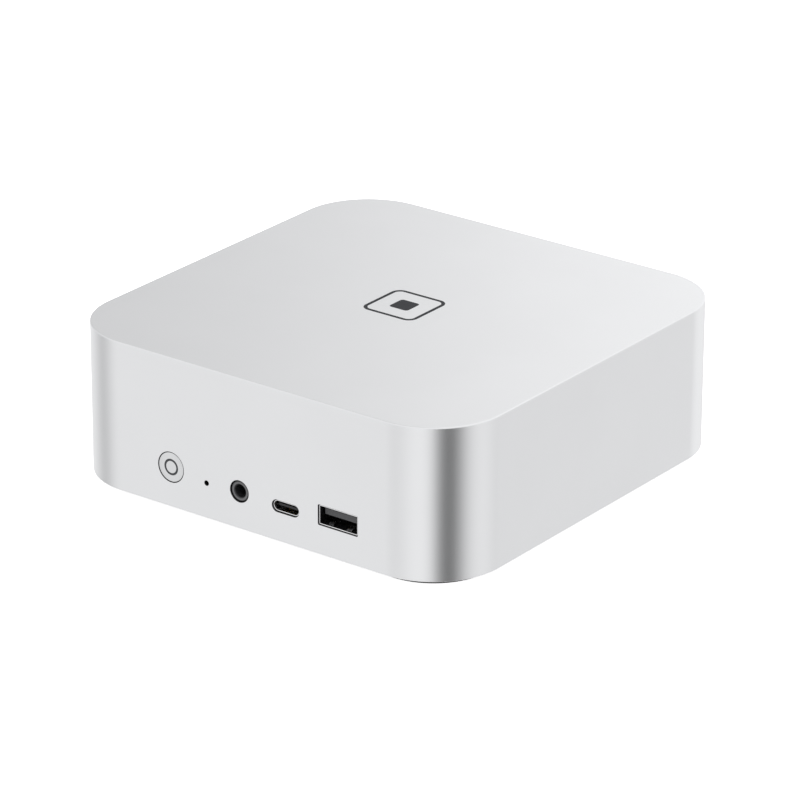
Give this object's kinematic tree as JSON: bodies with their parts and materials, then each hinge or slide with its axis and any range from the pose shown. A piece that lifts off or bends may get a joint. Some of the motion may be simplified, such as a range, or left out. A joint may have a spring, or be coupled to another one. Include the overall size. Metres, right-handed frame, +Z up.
{
  "type": "desktop computer",
  "caption": "Small square desktop computer with a silver aluminium shell, front power button and ports, rear ports and vent, and a blower-cooled mainboard inside.",
  "frame": {"origin": "centre of the foot's underside, where the computer stands on the desk", "axes": "+Z up, -Y out of the front face with the power button, +X to the right seen from the front"},
  "size_m": [0.135, 0.135, 0.0466],
  "materials": {
    "shell_aluminium": "fine bead-blasted and anodised silver",
    "button_aluminium": "same silver as the shell",
    "printed_mark": "dark grey print",
    "button_ring": "dark translucent ring",
    "base_plastic": "fine moulded texture",
    "rear_plastic": "fine moulded texture",
    "foot_rubber": "matt rubber",
    "filter_mesh": "fine black mesh",
    "screw_steel": "nickel-plated",
    "standoff_brass": "turned",
    "circuit_board": "dark green solder mask",
    "processor_laminate": "laminate with a bare die",
    "ferrite": "moulded grey ferrite",
    "capacitor_can": "bright can",
    "cooler_copper": "plain copper",
    "fin_aluminium": "stamped sheet",
    "fan_plastic": "black moulding",
    "motor_winding": "enamelled winding",
    "shaft_steel": "ground",
    "lead_jacket": "thin jacket",
    "socket_plastic": "glass-filled nylon",
    "memory_board": "green module with black chips",
    "drive_board": "blue-black card with black chips",
    "thermal_pad": "soft silicone",
    "antenna_film": "black film",
    "battery_sleeve": "heat-shrink sleeve",
    "port_steel": "bright plated sheet",
    "port_insert": "moulded insert",
    "jack_plastic": "moulded body",
    "plunger_plastic": "moulded",
    "led_lens": "clear white lens"
  },
  "bodies": {
    "case": {"top_shell": "shell_aluminium", "top_emblem": "printed_mark", "base_cover": "base_plastic", "base_cover_screws": "screw_steel", "foot_ring": "foot_rubber", "dust_filter": "filter_mesh", "rear_panel": "rear_plastic", "mainboard": "circuit_board", "mainboard_screws": "screw_steel", "board_standoffs": "standoff_brass", "processor": "processor_laminate", "power_inductors": "ferrite", "bulk_capacitors": "capacitor_can", "cooler_base": "cooler_copper", "cooler_screws": "screw_steel", "heat_pipes": "cooler_copper", "fin_stack": "fin_aluminium", "fan_housing": "fan_plastic", "fan_cover": "fan_plastic", "fan_motor": "motor_winding", "fan_screws": "screw_steel", "fan_cable": "lead_jacket", "memory_socket_1": "socket_plastic", "memory_socket_2": "socket_plastic", "memory_module_1": "memory_board", "memory_module_2": "memory_board", "ssd_socket_1": "socket_plastic", "ssd_socket_2": "socket_plastic", "ssd_1": "drive_board", "ssd_2": "drive_board", "ssd_pads": "thermal_pad", "ssd_spreaders": "fin_aluminium", "card_screws": "screw_steel", "wireless_socket": "socket_plastic", "wireless_card": "drive_board", "antenna_left": "antenna_film", "antenna_right": "antenna_film", "antenna_leads": "lead_jacket", "clock_battery": "battery_sleeve", "front_usb_a_shell": "port_steel", "front_usb_a_tongue": "port_insert", "front_usb_c_shell": "port_steel", "front_usb_c_tongue": "port_insert", "front_audio_jack": "jack_plastic", "rear_usb_a_shells": "port_steel", "rear_usb_c_shell": "port_steel", "rear_video_port_1": "port_steel", "rear_video_port_2": "port_steel", "rear_network_port": "port_steel", "rear_port_tongues": "port_insert", "power_inlet": "jack_plastic", "button_led": "led_lens", "power_switch_body": "socket_plastic", "reset_switch_body": "socket_plastic"},
    "power_button_cap": {"power_button": "button_aluminium", "button_light_ring": "button_ring"},
    "power_switch_stem": {"power_switch_plunger": "plunger_plastic"},
    "reset_switch_stem": {"reset_switch_plunger": "plunger_plastic"},
    "fan_rotor": {"fan_impeller": "fan_plastic", "fan_shaft": "shaft_steel"}
  },
  "joints": [
    {"name": "power_button_press", "type": "slide", "parent": "case", "child": "power_button_cap", "axis": [0, 1, 0], "range_m": [0, 0.0004], "stiffness_N_per_m": 400, "springref_m": -0.001},
    {"name": "power_switch_press", "type": "slide", "parent": "case", "child": "power_switch_stem", "axis": [0, 1, 0], "range_m": [0, 0.0004]},
    {"name": "reset_switch_press", "type": "slide", "parent": "case", "child": "reset_switch_stem", "axis": [0, 1, 0], "range_m": [0, 0.00025], "stiffness_N_per_m": 300, "springref_m": -0.001},
    {"name": "fan_spin", "type": "hinge", "parent": "case", "child": "fan_rotor", "pos_m": [0, -0.004, 0.034], "axis": [0, 0, 1], "continuous": true}
  ],
  "couplings": [
    {"joint": "power_switch_press", "follows": "power_button_press", "ratio": 1}
  ]
}
